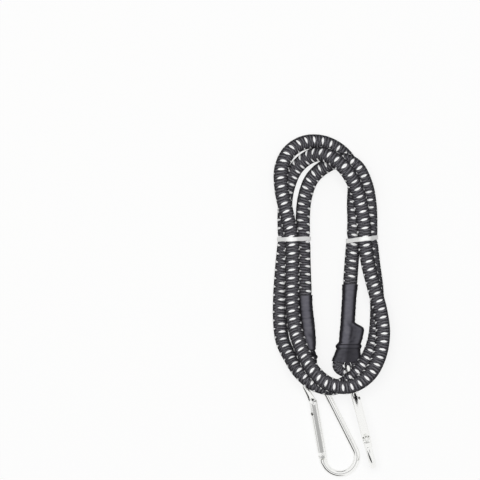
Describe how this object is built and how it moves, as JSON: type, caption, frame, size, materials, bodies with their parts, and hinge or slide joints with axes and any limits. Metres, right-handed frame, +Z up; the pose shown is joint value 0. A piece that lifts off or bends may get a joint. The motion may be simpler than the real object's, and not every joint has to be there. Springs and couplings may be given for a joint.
{
  "type": "bungee cord",
  "caption": "Elastic braided cord folded into a tied hank, with a spring-gate clip on a sleeved eye at each end, for strapping loads down.",
  "frame": {"origin": "on the floor under the middle of the hank and its clips", "axes": "+Y along the hank from the clips to the crowns, +X to the right seen from above, +Z up from the floor"},
  "size_m": [0.0584, 0.1719, 0.0284],
  "materials": {
    "latex_rubber": "raw latex strands, matt",
    "black_braid": "black polyester braid with white tracer dashes",
    "shrink_film": "dark grey heat-shrink film, satin",
    "steel_band": "bare steel band",
    "white_tie": "white plastic, soft sheen",
    "plated_steel": "bright nickel-plated steel",
    "spring_steel": "oiled spring steel"
  },
  "bodies": {
    "hank": {"rubber_core": "latex_rubber", "braided_sheath": "black_braid", "shrink_sleeve_1": "shrink_film", "shrink_sleeve_2": "shrink_film", "clamp_ring_1": "steel_band", "clamp_ring_2": "steel_band", "tie_left": "white_tie", "tie_right": "white_tie"},
    "clip_1": {"clip_1_frame": "plated_steel", "clip_1_hinge_pin": "plated_steel", "clip_1_latch_pin": "plated_steel"},
    "clip_1_gate": {"clip_1_gate": "plated_steel", "clip_1_gate_spring": "spring_steel"},
    "clip_1_plunger": {"clip_1_plunger": "spring_steel"},
    "clip_2": {"clip_2_frame": "plated_steel", "clip_2_hinge_pin": "plated_steel", "clip_2_latch_pin": "plated_steel"},
    "clip_2_gate": {"clip_2_gate": "plated_steel", "clip_2_gate_spring": "spring_steel"},
    "clip_2_plunger": {"clip_2_plunger": "spring_steel"}
  },
  "joints": [
    {"name": "clip_1_swing", "type": "hinge", "parent": "hank", "child": "clip_1", "pos_m": [-0.0095, -0.0357, 0.0071], "axis": [-0.9956, -0.0936, 0], "range_deg": [0, 25]},
    {"name": "clip_1_gate_hinge", "type": "hinge", "parent": "clip_1", "child": "clip_1_gate", "pos_m": [-0.009, -0.0491, 0.00566], "axis": [0.01, -0.1062, 0.9943], "range_deg": [0, 25], "stiffness_Nm_per_rad": 0.15, "springref_deg": -17.19},
    {"name": "clip_1_plunger_slide", "type": "slide", "parent": "clip_1_gate", "child": "clip_1_plunger", "axis": [0.1728, -0.9792, -0.1063], "range_m": [0, 0.00071], "deforming": ["clip_1_gate_spring"]},
    {"name": "clip_2_swing", "type": "hinge", "parent": "hank", "child": "clip_2", "pos_m": [0.00815, -0.03025, 0.0058], "axis": [0, 0, 1], "range_deg": [0, 20]},
    {"name": "clip_2_gate_hinge", "type": "hinge", "parent": "clip_2", "child": "clip_2_gate", "pos_m": [0.01122, -0.04242, 0.0099], "axis": [0.9696, 0.2449, 0], "range_deg": [0, 25], "stiffness_Nm_per_rad": 0.15, "springref_deg": -17.19},
    {"name": "clip_2_plunger_slide", "type": "slide", "parent": "clip_2_gate", "child": "clip_2_plunger", "axis": [0.2346, -0.929, 0.2862], "range_m": [0, 0.00071], "deforming": ["clip_2_gate_spring"]}
  ],
  "couplings": [
    {"joint": "clip_1_plunger_slide", "follows": "clip_1_gate_hinge", "m_per_rad": 0.0016043},
    {"joint": "clip_2_plunger_slide", "follows": "clip_2_gate_hinge", "m_per_rad": 0.0016043}
  ]
}
